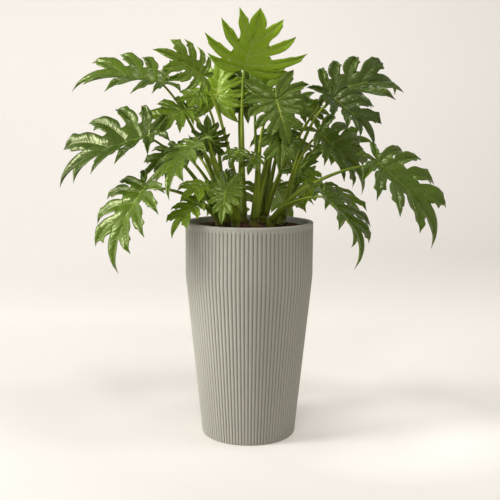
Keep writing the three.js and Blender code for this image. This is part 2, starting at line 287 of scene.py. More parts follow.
def outer_radius(z):
    """Radius to the crests of the reeds, with the bend eased over a few centimetres."""
    slope = (TOP_RADIUS - FOOT_RADIUS) / TAPER_TOP
    below = TAPER_TOP - z
    if below > EASE:
        shrink = below * slope
    elif below > -EASE:
        shrink = slope * (below + EASE) ** 2 / (4 * EASE)
    else:
        shrink = 0.0
    return TOP_RADIUS - shrink


def planter_profile():
    """The section, from the middle of the underside up the outer wall, over the rim and back inside."""
    heights = [FOOT_ROUND + 3, 20, 80, 160, 240, 320, 400, 460, 490, 500, 508, 516, 524, 560, 620]
    heights += [HEIGHT - RIM_BAND - lower for lower in (5, 2.5, 1, 0)]
    foot = outer_radius(0)
    inner = TOP_RADIUS - WALL
    inner_foot = outer_radius(FLOOR) - WALL
    section = [(0, 0), (foot - 40, 0)]
    section += arc((foot - FOOT_ROUND, FOOT_ROUND), FOOT_ROUND, -90, -5, 6)
    section += [(outer_radius(z), z) for z in heights]
    section += arc((TOP_RADIUS - RIM_ROUND, HEIGHT - RIM_ROUND), RIM_ROUND, 0, 90, 5)
    section += arc((inner + RIM_ROUND, HEIGHT - RIM_ROUND), RIM_ROUND, 90, 180, 5)
    section += [(inner, SOIL_EDGE), (inner, TAPER_TOP), (inner_foot, FLOOR + FLOOR_ROUND)]
    section += [(inner_foot - FLOOR_ROUND, FLOOR), (0, FLOOR)]
    return section


def draw_in_reeds(bm):
    """Draws the outer wall in between the crests of the reeds."""
    highest = HEIGHT - RIM_BAND
    for vertex in bm.verts:
        z = vertex.co.z / MM
        radius = vertex.co.xy.length / MM
        if radius < outer_radius(z) - OUTER_SKIN or z > highest:
            continue
        turn = math.atan2(vertex.co.y, vertex.co.x) / (2 * math.pi) * REEDS
        off = abs(turn - round(turn)) * 2
        shape = 1 - math.sqrt(max(1 - (ROUNDNESS * off) ** 2, 0))
        fade = min((highest - z) / FADE_AT_BAND, 1.0, max((z - REEDS_FROM) / FADE_AT_FOOT, 0))
        depth = REED_DEPTH * shape * math.sqrt(max(fade, 0))
        vertex.co.xy *= (radius - depth) / radius


planter_mesh = bmesh.new()
turn_profile(planter_mesh, planter_profile(), REEDS * REED_POINTS)
draw_in_reeds(planter_mesh)
print("planter's points:", len(planter_mesh.verts))

# %% [markdown]
# ## Planter's finish
#
# The cast body is matt and pale sage grey. It isn't painted: the colour drifts a little from place to
# place, fine pale and dark specks of sand show in it, and the surface has a fine grain. The grooves between
# the reeds are darker and browner: painted shade in the hollows, with some dust. The drift and the specks
# are noise on the piece's own coordinates, and the painted groove shade follows the angle round the axis,
# as the reeds do.

# %% Planter's material
SAGE = (0.300, 0.296, 0.256)
SAGE_PALE = (0.350, 0.346, 0.304)
SAGE_DARK = (0.186, 0.183, 0.155)
SAND_GRAIN = (0.55, 0.55, 0.50)
# Painted shade in the grooves between the reeds, with some dust in it.
GROOVE_DUST_AND_SHADE = (0.120, 0.108, 0.085)
STREAKS = (9.0, 9.0, 1.2)       # how often the colour drifts along each axis
SPECKS = 420.0
SPECK_SHARE = 0.35
GRAIN = 900.0
GROOVE_DUST_AND_SHADE_SHARE = 0.55
GROOVE_DUST_AND_SHADE_STOPS = HEIGHT - RIM_BAND - 4


def planter_finish():
    finish = Finish("sage_stoneware")
    cloud = finish.noise(6.0, 4.0)
    streaks = finish.node("Mapping", values={"Vector": finish.own_place(), "Scale": STREAKS})
    drift = finish.noise(3.0, 4.0, where=streaks)
    speck = finish.noise(SPECKS, 2.0)
    pale = ((speck - 0.62) * 9).clamp()
    dark = ((0.36 - speck) * 9).clamp()
    colour = finish.mix((cloud * 0.6 + drift * 0.6 - 0.1).clamp(), SAGE, SAGE_PALE)
    colour = finish.mix(pale * SPECK_SHARE, colour, SAND_GRAIN)
    colour = finish.mix(dark * SPECK_SHARE, colour, SAGE_DARK)
    x, y, z = finish.parts(finish.own_place())
    turn = y.math("ARCTAN2", y, x) / (2 * math.pi) * REEDS + REEDS
    groove = 1 - abs(turn.fraction() - 0.5) * 2
    below_band = ((GROOVE_DUST_AND_SHADE_STOPS * MM - z) * 300).clamp()
    # The grooves are painted darker and browner: painted shade in the hollows, with some dust.
    groove_dust_and_shade = ((groove - 0.45) * 2.2).clamp() * below_band * GROOVE_DUST_AND_SHADE_SHARE
    colour = finish.mix(groove_dust_and_shade, colour, GROOVE_DUST_AND_SHADE)
    grain = finish.noise(GRAIN, 3.0)
    shader = finish.node("BsdfPrincipled", values={
        "Base Color": colour,
        "Roughness": 0.72 + cloud * 0.16,
        "Specular IOR Level": 0.35,
        "Normal": finish.bump(grain + cloud * 0.6, 0.0006, 0.5),
    })
    return finish.end(shader)


finish_piece("planter_body", planter_mesh, [planter_finish()], "planter")

# %% [markdown]
# ## Soil
#
# Potting mix is a heap of crumbs and bark chips that fills the planter. The mass is one spun body. Its top
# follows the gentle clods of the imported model, and two sizes of noise make it rough.

# %% Soil's body
CLEARANCE = 0.3
SOIL_AT_WALL = 660.0
MOUND = 11.0
CLODS = 3.5
SOIL_RADIUS = TOP_RADIUS - WALL
SOIL_RINGS = 46
SOIL_STEPS = 168
SOIL_TOP_FROM = 650.0   # the points of the top lie above this
SOIL_TONE = 0.35
STEM_PLACES = [(-92, -8), (-42, -50), (14, -22), (64, -40), (98, 28), (44, 62), (-20, 48), (-74, 66)]
STEM_RADIUS = 17.0


def soil_height(x, y):
    """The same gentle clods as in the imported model, in millimetres."""
    reach = min(math.hypot(x, y) / SOIL_RADIUS, 1.0)
    rough = math.sin(x * 0.11 + 1.3) * math.cos(y * 0.13) + 0.6 * math.sin(x * 0.23 - y * 0.19)
    return SOIL_AT_WALL + MOUND * (1 - reach * reach) + CLODS / 1.6 * rough * (1 - reach**6)


def soil_body(bm):
    side = SOIL_RADIUS - CLEARANCE
    foot = outer_radius(FLOOR) - WALL - CLEARANCE
    base = FLOOR + CLEARANCE
    profile = [(0, base), (foot - FLOOR_ROUND, base), (side, TAPER_TOP), (side, SOIL_EDGE)]
    profile += [(side * (1 - i / SOIL_RINGS), HEIGHT) for i in range(SOIL_RINGS + 1)]
    turn_profile(bm, profile, SOIL_STEPS)
    for vertex in bm.verts:
        if vertex.co.z > SOIL_TOP_FROM * MM:
            x, y = vertex.co.x / MM, vertex.co.y / MM
            crumbs = noise.noise(Vector((x, y, 0)) / 7.0) * 2.2 + noise.noise(Vector((x, y, 9)) / 2.8) * 1.2
            vertex.co.z = (soil_height(x, y) + crumbs - 1.5) * MM


soil_mesh = bmesh.new()
soil_body(soil_mesh)
soil_tone = soil_mesh.verts.layers.float_color.new("tone")
for soil_vertex in soil_mesh.verts:
    soil_vertex[soil_tone] = (SOIL_TONE, 0, 0, 1)
print("soil's points:", len(soil_mesh.verts))

# %% [markdown]
# ## Loose crumbs
#
# About a thousand loose crumbs lie on the soil, half sunk, and none of them stands in a stem. A crumb is
# an icosphere whose corners are pushed about by noise, and it is then squashed and turned. It has 20
# faces, or 80 if it is a big one, because a shape that comes a thousand times has to stay simple. The
# crumbs are made by the handful, since a new one takes longer the more there are in its mesh.

# %% Crumbs
CRUMBS = 1150
CRUMB_SIZES = (1.6, 2.2, 2.8, 3.6, 4.8, 6.2)
BIG_CRUMB = 4.5
CRUMB_SINKS = 0.6
CRUMBS_OFF_WALL = 9.0
HANDFUL = 40


def crumb(bm, chance, place, size, tone_layer):
    subdivisions = 2 if size > BIG_CRUMB else 1
    lump = bmesh.ops.create_icosphere(bm, subdivisions=subdivisions, radius=1.0)["verts"]
    stretch = Vector((chance.uniform(0.7, 1.3), chance.uniform(0.6, 1.1), chance.uniform(0.35, 0.8)))
    spin = Matrix.Rotation(chance.uniform(0, 6.3), 3, "Z")
    tilt = Matrix.Rotation(chance.uniform(-0.5, 0.5), 3, "X")
    turn = spin @ tilt
    offset = Vector([chance.uniform(-9, 9) for _ in range(3)])
    tone = chance.random()
    for vertex in lump:
        push = 1 + 0.45 * noise.noise(vertex.co * 1.3 + offset)
        shape = Vector([a * b for a, b in zip(vertex.co * push, stretch)])
        vertex.co = place + turn @ shape * size * MM
        vertex[tone_layer] = (tone, 0, 0, 1)


def pour(source, target):
    """Adds all of one bmesh to another and empties it."""
    carrier = bpy.data.meshes.new("carrier")
    source.to_mesh(carrier)
    target.from_mesh(carrier)
    bpy.data.meshes.remove(carrier)
    bmesh.ops.delete(source, geom=source.verts, context="VERTS")


def scatter_crumbs(bm):
    """Scatters the crumbs, always in the same way, because the chance starts from a fixed number."""
    chance = random.Random(7)
    handful = bmesh.new()
    handful_tone = handful.verts.layers.float_color.new("tone")
    for count in range(CRUMBS):
        turn = chance.uniform(0, 2 * math.pi)
        reach = (SOIL_RADIUS - CRUMBS_OFF_WALL) * math.sqrt(chance.random())
        x, y = reach * math.cos(turn), reach * math.sin(turn)
        size = chance.choice(CRUMB_SIZES)
        if min(math.hypot(x - a, y - b) for a, b in STEM_PLACES) < STEM_RADIUS + size:
            continue
        place = Vector((x, y, soil_height(x, y) - CRUMB_SINKS)) * MM
        crumb(handful, chance, place, size, handful_tone)
        if count % HANDFUL == HANDFUL - 1:
            pour(handful, bm)
    pour(handful, bm)
    handful.free()


scatter_crumbs(soil_mesh)
print("soil's points with its crumbs:", len(soil_mesh.verts))

# %% [markdown]
# ## Soil's finish
#
# Damp peat is nearly black, and dry bark in it is a warm reddish brown. Each crumb carries its own tone
# from 0 to 1 as an attribute, and noise breaks it up. The crumbs with the highest tones turn to straw.

# %% Soil's material
PEAT = (0.026, 0.012, 0.007)
BARK = (0.125, 0.052, 0.026)
STRAW = (0.16, 0.085, 0.045)
STRAW_FROM = 0.88
STRAW_SHARE = 0.7


def soil_finish():
    finish = Finish("potting_mix")
    tone, _, _ = finish.stored("tone")
    fine = finish.noise(260.0, 4.0, 0.65)
    colour = finish.mix((tone * 0.9 + (fine - 0.5) * 1.1).clamp(), PEAT, BARK)
    colour = finish.mix(((tone - STRAW_FROM) * 8).clamp() * STRAW_SHARE, colour, STRAW)
    shader = finish.node("BsdfPrincipled", values={
        "Base Color": colour,
        "Roughness": 0.95 - fine * 0.15,
        "Specular IOR Level": 0.25,
        "Normal": finish.bump(fine, 0.0015, 0.9),
    })
    return finish.end(shader)


finish_piece("potting_soil_mix", soil_mesh, [soil_finish()], "potting_soil")

# %% [markdown]
# ## How a leaf is described
#
# A split leaf is a blade cut nearly to its midrib into finger-like lobes. An outline table holds one half
# of it in blade lengths: for each lobe its root on the midrib and its tip, then the points where the cuts
# end, and where the end lobe has its root. Slim says how much of the space between two cuts a lobe takes,
# and toothed how large the teeth on its edges are.
#
# Each leaf then has a joint with its stalk, a tip, the way its face looks, an arch, a fold along the
# midrib, a droop of its sides and a breadth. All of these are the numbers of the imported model, so the
# fine leaves lie where its plain ones do. Only the teeth are new, and the last number of a leaf, which
# says how young and yellow it is.

# %% Outlines and leaves
BROAD = {
    "lobes": [(0.00, -0.18, 0.19), (0.02, 0.05, 0.39), (0.09, 0.28, 0.46), (0.21, 0.53, 0.43),
              (0.37, 0.77, 0.30)],
    "cuts": [(-0.020, 0.010), (-0.035, 0.115), (0.085, 0.155), (0.235, 0.165), (0.410, 0.145),
             (0.610, 0.095)],
    "end": 0.53,
    "slim": 1.0,
    "toothed": 0.95,
}
SMALL = {
    "lobes": [(0.00, -0.17, 0.18), (0.03, 0.10, 0.39), (0.13, 0.42, 0.44), (0.33, 0.73, 0.31)],
    "cuts": [(-0.020, 0.012), (-0.030, 0.125), (0.125, 0.165), (0.325, 0.165), (0.565, 0.105)],
    "end": 0.49,
    "slim": 1.0,
    "toothed": 0.9,
}
HAND = {
    "lobes": [(0.00, -0.58, 0.46), (0.02, -0.14, 0.58), (0.06, 0.20, 0.58), (0.16, 0.49, 0.46),
              (0.34, 0.75, 0.28)],
    "cuts": [(-0.040, 0.012), (-0.170, 0.210), (0.030, 0.280), (0.235, 0.250), (0.420, 0.190),
             (0.620, 0.115)],
    "end": 0.50,
    "slim": 1.0,
    "toothed": 0.75,
}
YOUNG = {
    "lobes": [(0.00, 0.15, 0.44), (0.06, 0.48, 0.57), (0.20, 0.70, 0.43), (0.40, 0.89, 0.26)],
    "cuts": [(-0.020, 0.010), (0.120, 0.215), (0.320, 0.220), (0.500, 0.180), (0.680, 0.110)],
    "end": 0.56,
    "slim": 0.8,
    "toothed": 0.35,
}

# Name, stem, joint, tip and face, then arch, fold, droop, breadth, outline and youth.
LEAVES = [
    # The large ones round the front and the sides.
    ("upper left", 8, (-275, 90, 1110), (-575, 130, 1080), (-0.05, -0.47, 0.88),
     0.14, 22, 20, 0.95, BROAD, 0.12),
    ("middle left", 1, (-300, -65, 945), (-590, -10, 780), (-0.25, -0.56, 0.79),
     0.12, 26, 18, 0.96, BROAD, 0.06),
    ("low left", 1, (-310, -110, 795), (-390, -150, 535), (-0.70, -0.66, 0.28),
     0.15, 20, 20, 1.08, BROAD, 0.12),
    ("front left", 2, (-155, -120, 920), (-230, -215, 760), (-0.60, -0.55, 0.52),
     0.13, 25, 25, 1.05, BROAD, 0.15),
    ("high left", 7, (-145, 20, 1125), (-295, -40, 1200), (0.10, -0.78, 0.55),
     0.08, 18, 22, 1.15, BROAD, 0.38),
    ("top", 7, (-20, 10, 1150), (30, -35, 1325), (0.32, -0.92, -0.05),
     0.04, 26, 10, 1.55, YOUNG, 1.0),
    ("centre", 3, (80, -30, 1055), (120, -55, 910), (-0.05, -0.90, 0.40),
     0.04, 8, 12, 1.20, HAND, 0.08),
    ("upper right", 6, (250, 100, 1080), (490, 270, 1080), (-0.10, -0.78, 0.62),
     0.20, 26, 20, 0.92, BROAD, 0.05),
    ("second right", 5, (250, -50, 1060), (375, -60, 910), (0.60, -0.65, 0.45),
     0.12, 22, 20, 1.15, BROAD, 0.0),
    ("far right", 4, (375, -135, 870), (540, -150, 615), (0.60, -0.66, 0.45),
     0.17, 18, 18, 1.05, BROAD, 0.1),
    ("low right", 4, (215, -150, 775), (305, -210, 560), (0.85, -0.42, 0.32),
     0.20, 20, 18, 1.10, BROAD, 0.06),
    ("middle right", 5, (210, -20, 955), (355, 40, 760), (0.45, -0.65, 0.62),
     0.14, 22, 22, 1.00, BROAD, 0.15),
    # Smaller and younger ones between them.
    ("front", 2, (-70, -160, 785), (-80, -215, 690), (-0.10, -0.85, 0.45),
     0.06, 15, 20, 0.92, HAND, 0.25),
    ("upper centre", 6, (20, 70, 1065), (135, 110, 1190), (-0.10, -0.80, 0.50),
     0.08, 20, 30, 1.00, SMALL, 0.35),
    ("lit from behind", 7, (-105, 85, 1065), (-85, 115, 1195), (-0.30, -0.85, 0.35),
     0.08, 15, 25, 1.35, HAND, 0.65),
    ("inner left", 8, (-195, 30, 1025), (-325, 20, 930), (-0.35, -0.65, 0.62),
     0.10, 20, 22, 1.25, SMALL, 0.3),
    ("shaded left", 2, (-125, 0, 925), (-130, -35, 1010), (-0.05, -0.88, 0.38),
     0.05, 15, 30, 1.25, HAND, 0.0),
    ("behind front left", 8, (-225, 40, 900), (-335, 20, 800), (-0.50, -0.60, 0.50),
     0.1, 20, 30, 1.05, SMALL, 0.2),
    ("low yellow", 1, (-130, -70, 795), (-205, -150, 750), (-0.30, -0.75, 0.50),
     0.10, 15, 30, 1.20, SMALL, 0.85),
    ("over the rim", 1, (-160, -100, 745), (-230, -145, 640), (-0.50, -0.70, 0.50),
     0.12, 20, 30, 1.05, SMALL, 0.75),
    ("shaded right", 5, (150, 30, 840), (225, 20, 895), (0.05, -0.80, 0.55),
     0.08, 12, 25, 0.85, HAND, 0.12),
    ("low light", 5, (190, 55, 835), (165, 65, 710), (0.30, -0.80, 0.40),
     0.10, 20, 30, 0.95, SMALL, 0.75),
    ("behind middle right", 5, (240, 90, 905), (400, 110, 920), (0.10, -0.70, 0.65),
     0.14, 25, 30, 1.0, SMALL, 0.3),
    ("inner right", 6, (155, 120, 1035), (265, 170, 1005), (0.20, -0.70, 0.60),
     0.1, 20, 30, 1.1, SMALL, 0.35),
    ("right of centre", 3, (110, 45, 1030), (205, 60, 1080), (0.0, -0.80, 0.55),
     0.08, 15, 20, 1.15, SMALL, 0.1),
    ("hanging centre", 3, (100, -25, 960), (90, -65, 830), (0.10, -0.90, 0.30),
     0.08, 15, 25, 1.10, SMALL, 0.1),
    ("small centre", 3, (15, -40, 885), (-5, -70, 825), (-0.05, -0.65, 0.70),
     0.08, 15, 25, 1.35, SMALL, 0.1),
    ("small left of centre", 2, (-35, -40, 900), (-60, -95, 845), (-0.20, -0.60, 0.70),
     0.08, 15, 25, 1.35, SMALL, 0.1),
    ("light left", 8, (-150, 60, 1065), (-230, 25, 1045), (-0.30, -0.75, 0.55),
     0.08, 18, 25, 1.4, SMALL, 0.7),
    ("dark above front", 2, (-75, -85, 835), (-55, -130, 785), (-0.10, -0.60, 0.75),
     0.08, 18, 25, 1.30, SMALL, 0.0),
    ("dark centre", 7, (-20, 100, 1115), (-5, 75, 980), (-0.05, -0.90, 0.25),
     0.05, 15, 30, 0.85, HAND, 0.1),
    # The back.
    ("high back right", 6, (110, 240, 1060), (200, 430, 980), (0.25, 0.50, 0.80),
     0.14, 20, 30, 1.0, BROAD, 0.15),
    ("high back", 7, (-30, 260, 1090), (-60, 480, 1000), (-0.10, 0.55, 0.80),
     0.14, 20, 30, 1.05, BROAD, 0.15),
    ("high back left", 8, (-190, 220, 1030), (-330, 380, 940), (-0.40, 0.45, 0.80),
     0.14, 20, 30, 1.0, BROAD, 0.15),
    ("middle back right", 5, (220, 200, 905), (370, 360, 790), (0.40, 0.45, 0.75),
     0.13, 20, 30, 0.95, BROAD, 0.15),
    ("middle back", 6, (90, 310, 930), (140, 510, 790), (0.15, 0.65, 0.70),
     0.13, 20, 30, 1.0, BROAD, 0.15),
    ("middle back left", 8, (-180, 210, 890), (-300, 390, 770), (-0.35, 0.50, 0.70),
     0.13, 20, 30, 1.0, BROAD, 0.15),
    ("low back right", 6, (90, 270, 770), (150, 430, 600), (0.20, 0.65, 0.55),
     0.12, 22, 30, 0.95, BROAD, 0.15),
    ("low back", 7, (-60, 270, 770), (-90, 420, 590), (-0.10, 0.75, 0.50),
     0.12, 22, 30, 1.05, BROAD, 0.15),
    ("low far right", 5, (230, 110, 780), (375, 190, 645), (0.60, 0.35, 0.60),
     0.12, 22, 30, 1.0, SMALL, 0.15),
]
print(len(LEAVES), "leaves on", len(STEM_PLACES), "stems")

# %% [markdown]
# ## From the flat outline into space
#
# A point of the flat leaf has two numbers: s along the midrib and w away from it. `Leaf.place` sets it on
# the arched midrib, lifts it by the fold and bends it down by the droop. The height above that smooth
# sheet makes the quilting: the blade swells between its veins, and each vein lies in a groove.

# %% The leaf in space
RISE = 2.12             # makes the top of the arch as high as the leaf's own number says
HALF_BREADTH = 0.42     # the droop is the turn from the midrib to this far out


def draw(seed, feature):
    """A repeatable number from -1 to 1 for a leaf and one of its features."""
    x = math.sin(seed * 12.9898 + feature * 78.233) * 43758.5453
    return (x - math.floor(x)) * 2 - 1


def smooth(low, high, x):
    """Rises softly from 0 at low to 1 at high."""
    t = min(max((x - low) / (high - low), 0.0), 1.0)
    return t * t * (3 - 2 * t)


class Leaf:
    """A leaf of the table in space. Points are in millimetres, and s and w in blade lengths."""

    def __init__(self, seed, row):
        (self.name, self.stem, joint, tip, face, self.arch, fold, droop,
         self.breadth, self.outline, self.youth) = row
        self.seed = seed
        self.start = Vector(joint)
        self.along = Vector(tip) - self.start
        self.length = self.along.length
        self.along.normalize()
        self.up = Vector(face)
        self.up -= self.along * self.up.dot(self.along)
        self.up.normalize()
        self.lift = math.radians(fold)
        self.curl = math.radians(droop) / HALF_BREADTH
        self.axes_at = {}

    def at(self, s):
        """A point of the midrib."""
        rise = RISE * (s - s**4 if s > 0 else s)
        return self.start + self.along * (self.length * s) + self.up * (self.length * self.arch * rise)

    def axes(self, s):
        """The ways forward, up and across on the midrib. They are kept, because many points share them."""
        key = round(s, 4)
        if key not in self.axes_at:
            slope = RISE * (1 - 4 * s**3 if s > 0 else 1)
            forward = (self.along + self.up * (self.arch * slope)).normalized()
            above = (self.up - forward * self.up.dot(forward)).normalized()
            self.axes_at[key] = (forward, above, forward.cross(above))
        return self.axes_at[key]

    def place(self, s, w, side, sag=0.0, height=0.0):
        """The point in millimetres; height is also in millimetres, off the blade's upper face."""
        _, above, across = self.axes(s)
        w *= self.breadth
        turned = self.lift - self.curl * w
        out = (math.sin(self.lift) - math.sin(turned)) / self.curl
        high = (math.cos(turned) - math.cos(self.lift)) / self.curl - sag
        point = self.at(s) + across * (side * out * self.length) + above * (high * self.length)
        return point + (above * math.cos(turned) - across * (side * math.sin(turned))) * height


plants = [Leaf(index + 1, row) for index, row in enumerate(LEAVES)]
print("longest blade:", round(max(leaf.length for leaf in plants)), "mm")

# %% [markdown]
# ## A lobe's outline
#
# A lobe grows along its vein, which leaves the midrib, bows towards the stalk and ends in the tip. Its two
# edges start at the cuts, whose ends are round, and follow the vein at a distance that swells a little
# and then narrows to a claw. Up to three broad teeth widen it slowly and end in a step. Their sizes, and
# the lobe's length, are drawn from the leaf's number: no two lobes are alike, and each comes out the
# same every time.

# %% The lobe
SINUS = 0.017           # half the gap between two lobes
LONGER = 0.13           # how much longer or shorter a lobe may be
TIP_SHIFT = 0.025
TIP_INSET = 0.997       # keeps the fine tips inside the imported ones
SAG = 0.05
VEIN_BOW = Vector((-0.16, 0.05))
OPENING = 0.16          # the share of a lobe in which a cut reaches its full width
REAR_WIDTH = 1.08       # a lobe is a little broader on the stalk's side of its vein
FRONT_WIDTH = 0.92
TOOTH_LENGTH = 0.24     # along the lobe
SMALLEST_TOOTH = 0.1
OTHER_HALF = 57         # added to a leaf's number for its second half

# Teeth: side, place, its play, size, its play, and which features of the lobe draw the two plays.
TEETH = [
    (1, 0.60, 0.07, 0.42, 0.25, 32, 31),
    (-1, 0.70, 0.07, 0.28, 0.28, 35, 36),
    (1, 0.34, 0.05, 0.05, 0.22, 37, 38),
]


def lobe_width(x):
    """Half the width of a lobe against that at its root: a broad finger with a claw at its tip."""
    swell = 1 + 0.15 * math.sin(math.pi * min(x / 0.7, 1))
    return swell * (1 - x**2.2) ** 0.9 * (1 - 0.42 * smooth(0.74, 1.0, x))


def opening(x):
    """How far the cuts beside a lobe have opened, as a quarter of a circle."""
    return math.sqrt(1 - (1 - min(x / OPENING, 1.0)) ** 2)


class Lobe:
    """One lobe of the flat outline on one side of a leaf, with its teeth: side, place and size of each."""

    def __init__(self, leaf, k, side):
        outline = leaf.outline
        self.key = leaf.seed + (0 if side > 0 else OTHER_HALF)
        self.k = k
        root, tip_s, tip_w = outline["lobes"][k]
        self.rear = Vector(outline["cuts"][k])
        self.front = Vector(outline["cuts"][k + 1])
        self.level = (self.rear + self.front) / 2
        self.root = Vector((root, 0))
        self.tip = self.level + (Vector((tip_s, tip_w)) - self.level) * (1 + LONGER * self.draws(1))
        self.tip.x += TIP_SHIFT * self.draws(2)
        self.tip = self.level + (self.tip - self.level) * TIP_INSET
        reach = self.tip - self.root
        self.bow = self.root + reach * 0.55 + VEIN_BOW * abs(reach.y)
        self.start = min((0.05 + 0.01 * i for i in range(91)), key=self.off_level)
        self.half = ((self.front - self.rear).length / 2 - SINUS) * outline["slim"]
        self.sag = SAG * (1 + 0.8 * self.draws(3))
        self.phase = 3.1 * self.draws(33)
        self.twist = self.draws(34)
        self.teeth = []
        for tooth_side, place, place_play, size, size_play, place_feature, size_feature in TEETH:
            place += place_play * self.draws(place_feature)
            size += size_play * self.draws(size_feature)
            self.teeth.append((tooth_side, place, outline["toothed"] * size))

    def draws(self, feature):
        return draw(self.key, 3 * self.k + feature)

    def vein(self, u):
        return self.root * (1 - u) ** 2 + self.bow * (2 * u * (1 - u)) + self.tip * u**2

    def way(self, u):
        return ((self.bow - self.root) * (1 - u) + (self.tip - self.bow) * u).normalized()

    def off_level(self, u):
        """How far a point of the vein is from the line between the ends of the two cuts."""
        return abs((self.vein(u) - self.level).dot(self.way(u)))

    def edge(self, x, side):
        """A point on the lobe's edge: side is -1 for the edge towards the stalk and 1 for the other."""
        u = self.start + (1 - self.start) * x
        out = Vector((self.way(u).y, -self.way(u).x)) * side
        opened = opening(x)
        cut = (self.rear if side < 0 else self.front) - self.vein(self.start)
        share = REAR_WIDTH if side < 0 else FRONT_WIDTH
        width = lobe_width(x)
        for tooth_side, place, size in self.teeth:
            if side == tooth_side and x <= place and size > SMALLEST_TOOTH:
                width += size * smooth(place - TOOTH_LENGTH, place, x)
        return self.vein(u) + cut * (1 - opened) + out * (self.half * width * opened * share)


example = Lobe(plants[0], 2, 1)
print("a lobe of the first leaf:", round((example.tip - example.root).length * plants[0].length), "mm")

# %% [markdown]
# ## Swellings
#
# The blade is puffed up between its veins, and a lobe's edges wave a little. The height depends on two
# numbers: x runs along the lobe from the cuts to the tip, and v across it, from 0 on the vein to 1 or -1
# at the edges. Web says how far the web between the lobes has been crossed, and a tip is flat.

# %% Swellings
SWELL = 0.0180          # how high the blade swells between veins, in blade lengths
RIPPLES = 1.9


def swelling(leaf, x, off_vein):
    """The swelling between a vein, at 0, and an edge, at 1, in millimetres."""
    return SWELL * leaf.length * math.sin(math.pi * off_vein * (0.5 + 0.33 * smooth(0.0, 0.35, x)))


def flat_tip(x):
    return 1 - smooth(0.72, 1.0, x)


def quilt(lobe, leaf, x, web, v):
    """How high a lobe lies above its smooth sheet, in millimetres."""
    height = swelling(leaf, x, abs(v)) * smooth(0.0, 0.5, web)
    wave = 2 * math.pi * RIPPLES * x + lobe.phase + (1.4 if v > 0 else 0)
    ripple = math.sin(wave) * v * v * smooth(0.1, 0.5, x)
    roll = lobe.twist * v * smooth(0.1, 0.8, x) * 0.8
    channel = abs(v) * smooth(0.0, 0.5, x) * (1.1 + 0.6 * lobe.twist)
    return (height + SWELL * leaf.length * (0.5 * ripple + roll + channel)) * flat_tip(x)


print("highest swelling:", round(SWELL * max(leaf.length for leaf in plants), 1), "mm")

# %% [markdown]
# ## Blade
#
# A lobe is laid as a sheet that starts at the midrib: first the web that it shares with its neighbours,
# then the free finger. The sheets of a leaf meet exactly along their borders, so merging the doubles
# makes one blade. Three things are stored for the finish: how far a point is along and beside the lobe's
# vein, how far it is from the midrib, and the leaf's tone.

# %% Lobes and their maps
WEB_ROWS = 6
FINGER_ROWS = 22
ACROSS = 12
OWN_TONE = 91           # the feature that draws a leaf's own tone


def finger_row(step):
    """Rows lie closer where a lobe leaves its cuts and at its tip."""
    t = step / FINGER_ROWS
    return min(t - 0.055 * math.sin(2 * math.pi * t), 1.0)


def note_faces(grid, notes, lobe_map, rib_map):
    """Writes the two maps on the corners of a grid's faces."""
    for face in {face for vertex in grid for face in vertex.link_faces}:
        for corner in face.loops:
            lobe_place, rib_place = notes[corner.vert.co.to_tuple(7)]
            corner[lobe_map].uv = lobe_place
            corner[rib_map].uv = rib_place


def tell_tone(grid, tone, leaf, lobe_share):
    """Stores the leaf's youth, its own tone and the lobe's tone on each vertex."""
    own = draw(leaf.seed, OWN_TONE) * 0.5 + 0.5
    for vertex in grid:
        vertex[tone] = (leaf.youth, own, lobe_share, 1.0)


def lay_lobe(bm, leaf, k, side, spine, layers):
    """Lays one lobe, from its stretch of the midrib out to its tip."""
    lobe_map, rib_map, tone = layers
    lobe = Lobe(leaf, k, side)
    rows = WEB_ROWS + FINGER_ROWS
    notes = {}

    def place(across, along):
        v = across * 2 - 1
        step = round(along * rows)
        if step <= WEB_ROWS:
            web, x = step / WEB_ROWS, 0.0
            middle = lobe.vein(lobe.start * web)
            rear = Vector((spine[k], 0)).lerp(lobe.rear, web)
            front = Vector((spine[k + 1], 0)).lerp(lobe.front, web)
        else:
            web, x = 1.0, finger_row(step - WEB_ROWS)
            middle = lobe.vein(lobe.start + (1 - lobe.start) * x)
            rear, front = lobe.edge(x, -1), lobe.edge(x, 1)
        flat = middle.lerp(rear if v < 0 else front, abs(v))
        point = leaf.place(flat.x, flat.y, side, lobe.sag * x * x, quilt(lobe, leaf, x, web, v)) * MM
        beside = (flat - middle).length * math.copysign(leaf.length * MM, v)
        notes[point.to_tuple(7)] = (
            ((middle - lobe.root).length * leaf.length * MM, beside),
            (flat.y * leaf.breadth * leaf.length * MM, flat.x),
        )
        return point

    grid = lay(bm, ACROSS, rows, place, turn=side > 0)
    note_faces(grid, notes, lobe_map, rib_map)
    tell_tone(grid, tone, leaf, lobe.twist * 0.5 + 0.5)
    return grid


def lay_end(bm, leaf, side, start, layers):
    """Lays one half of the end lobe, from the midrib out to its edge."""
    lobe_map, rib_map, tone = layers
    cut_s, cut_w = leaf.outline["cuts"][-1]
    rows = WEB_ROWS + FINGER_ROWS
    notes = {}

    def place(across, along):
        step = round(along * rows)
        if step <= WEB_ROWS:
            web, x = step / WEB_ROWS, 0.0
            s, w = start + (cut_s - start) * web, cut_w * web
        else:
            web, x = 1.0, finger_row(step - WEB_ROWS)
            opened = opening(x)
            s = cut_s + (TIP_INSET - cut_s) * x
            w = cut_w * (1 - opened) + (cut_w - SINUS) * lobe_width(x) * opened * 1.05
        height = swelling(leaf, x, across) * (smooth(0, 0.5, web) * flat_tip(x))
        point = leaf.place(s, w * across, side, 0.0, height) * MM
        notes[point.to_tuple(7)] = (
            ((s - start) * leaf.length * MM, w * across * leaf.length * MM),
            (w * across * leaf.breadth * leaf.length * MM, s),
        )
        return point

    grid = lay(bm, ACROSS // 2, rows, place, turn=side < 0)
    note_faces(grid, notes, lobe_map, rib_map)
    tell_tone(grid, tone, leaf, 0.5)
    return grid


print(2 * (WEB_ROWS + FINGER_ROWS) * ACROSS, "faces to a pair of lobes")

